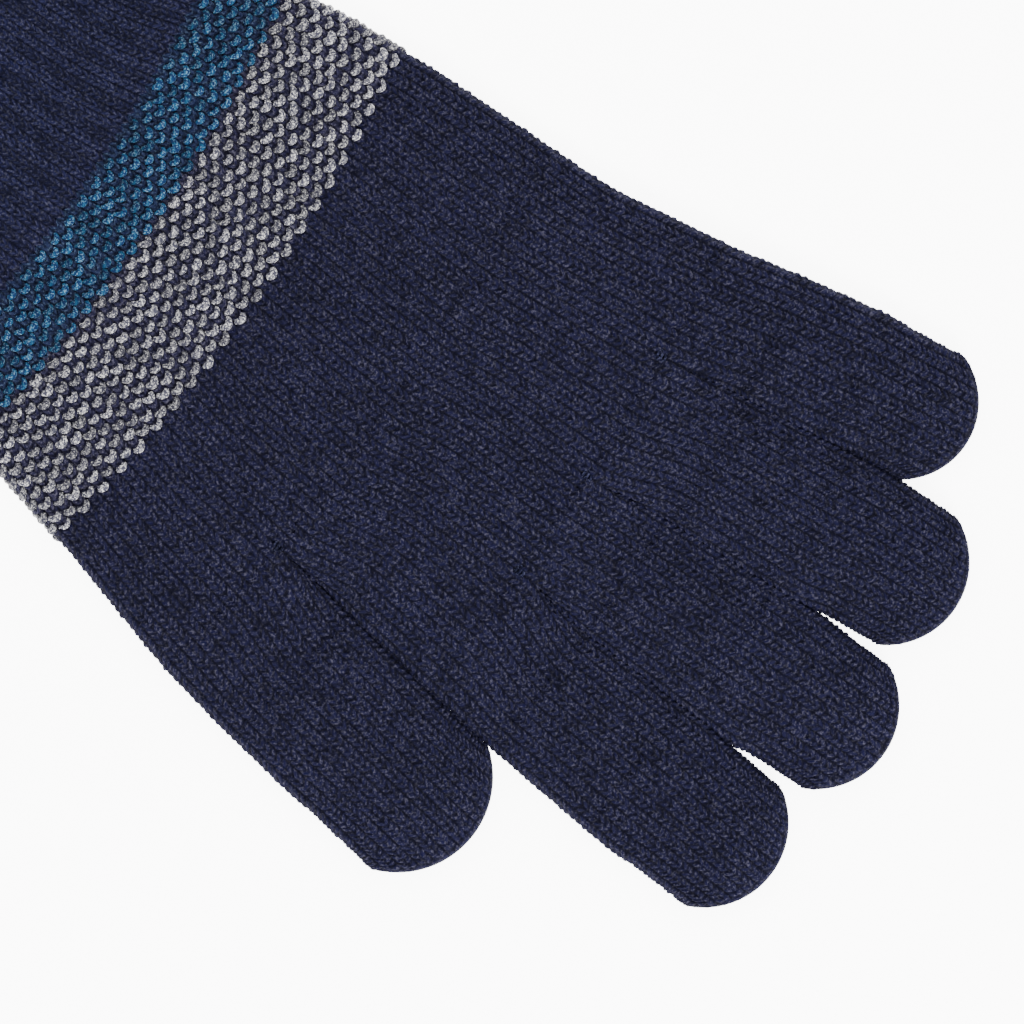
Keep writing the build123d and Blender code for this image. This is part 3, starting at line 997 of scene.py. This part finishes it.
def two_ply(name, deep, middle, pale):
    """Two-ply yarn. Colour: the deep colour as painted shade in the groove between the plies, where a sine
    of the length and the turn round the yarn is low, ragged by fine fibres that also fleck it pale, times a
    tint for each stitch. Bump: both."""
    recipe = Recipe(name, YARN_ROUGHNESS, pale)
    strand = recipe.node("ShaderNodeUVMap", {"uv_map": "stitches"}, {})
    place = recipe.node("ShaderNodeTexCoord", {}, {}, output="Object")
    tint = recipe.node("ShaderNodeAttribute", {"attribute_name": "tint"}, {}, output="Fac")
    length = recipe.node("ShaderNodeSeparateXYZ", {}, {0: strand}, output="X")
    turn = recipe.node("ShaderNodeSeparateXYZ", {}, {0: strand}, output="Y")
    angle = length * PLY_TWIST + turn * (PLIES * 2.0 * math.pi)
    wave = recipe.node("ShaderNodeMath", {"operation": "SINE"}, {0: angle})
    fibres = recipe.noise(place, YARN_FIBRE_SCALE, FIBRE_DETAIL)
    # Painted shade: the deep colour fills the groove between the two plies.
    ply_groove_shade = recipe.span(wave + (fibres - 0.5) * PLY_RAGGEDNESS, PLY_RANGE)
    colour = recipe.blend(ply_groove_shade, (*deep, 1.0), (*middle, 1.0))
    flecks = recipe.span(fibres, YARN_FLECK_RANGE, (0.0, YARN_FLECK_SHARE))
    colour = recipe.blend(flecks, colour, (*pale, 1.0))
    shade = recipe.span(tint, (0.0, 1.0), TINT_SHADE)
    return recipe.finished(recipe.shaded(colour, shade), wave * PLY_HEIGHT + fibres, *YARN_BUMP)


def knit_band(colour, rows, seed, yarn_radius, backing, yarn):
    """Both pieces of a band: the navy ground in its backing wool, and the arches of pale yarn on it."""
    ground = knit_tube(f"{colour}_band_ground", trunk, TRUNK_WALES, rows, band_relief, seed)
    arches = arch_stitches(f"{colour}_band_stitches", trunk, TRUNK_WALES, rows, seed + 1, yarn_radius)
    dress(ground, backing, f"{colour}_band")
    dress(arches, yarn, f"{colour}_band")
    return ground, arches


# For each yarn: its painted shade between the plies, its own colour, and its pale flecks.
grey_yarn = two_ply("grey_yarn", (0.030, 0.030, 0.044), (0.130, 0.127, 0.140), (0.50, 0.49, 0.48))
teal_yarn = two_ply("teal_yarn", (0.0028, 0.012, 0.042), (0.0072, 0.047, 0.094), (0.088, 0.152, 0.208))
# For each backing, the last number is the painted shade in the hollows between the stitches.
grey_backing = wool(
    "grey_backing", (0.0046, 0.0042, 0.0155), (0.0135, 0.0130, 0.0260), (0.060, 0.056, 0.078), 0.42
)
teal_backing = wool(
    "teal_backing", (0.0028, 0.0046, 0.0175), (0.0085, 0.0120, 0.0300), (0.034, 0.050, 0.080), 0.42
)
for piece in knit_band("grey", GREY_ROWS, 41, GREY_YARN_RADIUS, grey_backing, grey_yarn):
    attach(piece, "palm")
for piece in knit_band("teal", TEAL_ROWS, 43, TEAL_YARN_RADIUS, teal_backing, teal_yarn):
    bend_piece(piece, "palm", "cuff", (0.0, WRIST_Y), (0.0, 1.0), *WRIST_BEND)

# --------------------
# The cuff: deep rib in navy, two raised wales and one sunk wale by turns, which pulls
# it in to the wrist, ending in a rolled welt. Elastic thread runs inside its lower part.
RIB_ROWS = (-75, -45, -28)
WELT_ROWS = (-78, -75)
RIB_START_ROW = -27.5
RIB_START_SPAN = 3.0
RIB_REPEAT = 3.0
RIB_PHASE = 2.5
RIB_STEEPNESS = 1.6
RIB_SHOULDER = 0.5
RIB_LIFT = 0.25
RIB_SINK = 0.95
VALLEY_FLATTENING = 0.3
VALLEY_PAINTED_SHADE = 0.35
WELT_ROLL = 0.5
WELT_STITCHES = 0.8


def rib_relief(place, row, randoms):
    """Rib: jersey on two wales of three, and the third sunk below them in a cosine valley with steep sides,
    its stitches flatter and with painted shade. It comes in over a few courses below the teal band."""
    sunk = 0.5 + 0.5 * np.cos(2.0 * math.pi * (place - RIB_PHASE) / RIB_REPEAT)
    valley = np.clip(sunk * RIB_STEEPNESS - RIB_SHOULDER, 0.0, 1.0)
    started = eased((RIB_START_ROW - row) / RIB_START_SPAN)
    height, painted_shade_and_tone = jersey_relief(place, row, randoms)
    sink = (RIB_LIFT - valley * RIB_SINK) * started
    flatter = 1.0 - VALLEY_FLATTENING * valley * started
    # Painted shade: the stitches in the sunk wale are coloured darker.
    valley_shade = 1.0 - VALLEY_PAINTED_SHADE * valley * started
    return height * flatter + sink, painted_shade_and_tone * valley_shade


def welt_relief(place, row, randoms):
    """The welt: the rib's last courses swell into one round roll, half a sine over them, then turn in."""
    along = np.clip((row - WELT_ROWS[0]) / (WELT_ROWS[1] - WELT_ROWS[0]), 0.0, 1.0)
    height, painted_shade_and_tone = rib_relief(place, row, randoms)
    return height * WELT_STITCHES + np.sin(along * math.pi) * WELT_ROLL, painted_shade_and_tone


# The last number is the painted shade in the hollows between the stitches.
navy_rib = wool("navy_rib", (0.0021, 0.0026, 0.0150), (0.0098, 0.0102, 0.0270), (0.038, 0.038, 0.056), 0.32)
rib_top = knit_tube("rib_cuff_upper", trunk, TRUNK_WALES, RIB_ROWS[1:], rib_relief, 51)
rib_low = knit_tube("rib_cuff_lower", trunk, TRUNK_WALES, RIB_ROWS[:2], rib_relief, 52)
welt = knit_tube("cuff_welt_roll", trunk, TRUNK_WALES, WELT_ROWS, welt_relief, 53, mouth=WELT_ROWS[0])
for piece, node in ((rib_top, "rib_cuff"), (rib_low, "rib_cuff"), (welt, "cuff_welt")):
    dress(piece, navy_rib, node)
bend_piece(rib_top, "palm", "cuff", (0.0, WRIST_Y), (0.0, 1.0), *WRIST_BEND)
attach(rib_low, "cuff")
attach(welt, "cuff")

ELASTIC_PITCH = 9.0
ELASTIC_COUNT = 6
ELASTIC_POINTS = 361
ELASTIC_RADIUS = 0.24
ELASTIC_FROM_WELT_ROWS = 2.0
ELASTIC_INSET = 0.35
turns_around = np.linspace(0.0, 2.0 * TRUNK_WALES, ELASTIC_POINTS)[None, :]
first_elastic_row = WELT_ROWS[1] + ELASTIC_FROM_WELT_ROWS
elastic_rows = (first_elastic_row + np.arange(ELASTIC_COUNT) * ELASTIC_PITCH / COURSE_HEIGHT)[:, None]
elastic_place, elastic_row = np.broadcast_arrays(turns_around, elastic_rows)
elastic_normal = normals_of(trunk, elastic_place, elastic_row)
elastic_path = trunk(elastic_place, elastic_row) - elastic_normal * (WALL / 2 + ELASTIC_INSET)
elastic_radius = np.full(elastic_place.shape, ELASTIC_RADIUS)
even_tint = np.full(ELASTIC_COUNT, 0.5)
elastic = yarn_tubes("cuff_elastic", elastic_path, elastic_normal, elastic_radius, even_tint)
# Its first colour is the painted shade between the plies.
elastic_thread = two_ply("elastic_thread", (0.4, 0.4, 0.38), (0.6, 0.6, 0.57), (0.8, 0.8, 0.77))
dress(elastic, elastic_thread, "cuff_elastic_threads")
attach(elastic, "cuff")

# --------------------
# The crotch stitches: where two fingers part, a few stitches of the same navy yarn are drawn
# through both to close the small hole, and stand as a little knot on each face.
BARS = 3
BAR_SPACING = 0.55
BAR_SPAN = 0.9
BAR_WANDER = 0.04
BAR_DROP = 0.5
BAR_LIFT = 0.5
BAR_SINK = 0.1
BAR_RADIUS = 0.3
BAR_END_SHARE = 0.55
BAR_SWELL_SHARE = 0.45
# For each crotch: the wale and the course where it lies, and the tube that it is on.
CROTCHES = {
    "little_ring_tack": (9, KNUCKLE_ROW, upper_hand, UPPER_WALES),
    "ring_middle_tack": (18, KNUCKLE_ROW, upper_hand, UPPER_WALES),
    "middle_index_tack": (26, KNUCKLE_ROW, upper_hand, UPPER_WALES),
    "index_thumb_tack": (34, CROTCH_ROW, trunk, TRUNK_WALES),
}
# Its first colour is the painted shade between the plies.
navy_thread = two_ply("navy_thread", (0.0015, 0.0017, 0.008), (0.006, 0.0065, 0.018), (0.03, 0.032, 0.06))
for number, (node, (column, row, surface, wales)) in enumerate(CROTCHES.items()):
    random = np.random.default_rng(60 + number)
    bars = np.arange(BARS)[:, None]
    reach = np.linspace(-0.5, 0.5, ARCH_POINTS)[None, :]
    place = column + reach * BAR_SPAN + random.normal(0.0, BAR_WANDER, (BARS, 1))
    level = row - 1.0 + bars * BAR_SPACING - BAR_DROP * (np.abs(reach) * 2.0) ** 2
    arch = np.cos(reach * math.pi)
    paths = []
    outward = []
    for side_place in (place, 2.0 * wales - place):
        normal = normals_of(surface, side_place, level)
        paths.append(surface(side_place, level) + normal * (BAR_LIFT * arch - BAR_SINK)[..., None])
        outward.append(normal)
    paths, outward = np.concatenate(paths), np.concatenate(outward)
    radius = np.broadcast_to(BAR_RADIUS * (BAR_END_SHARE + BAR_SWELL_SHARE * arch), paths.shape[:2])
    name = node.replace("_tack", "_crotch_stitches")
    stitches = yarn_tubes(name, paths, outward, radius, random.random(len(paths)))
    dress(stitches, navy_thread, node)
    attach(stitches, "palm")
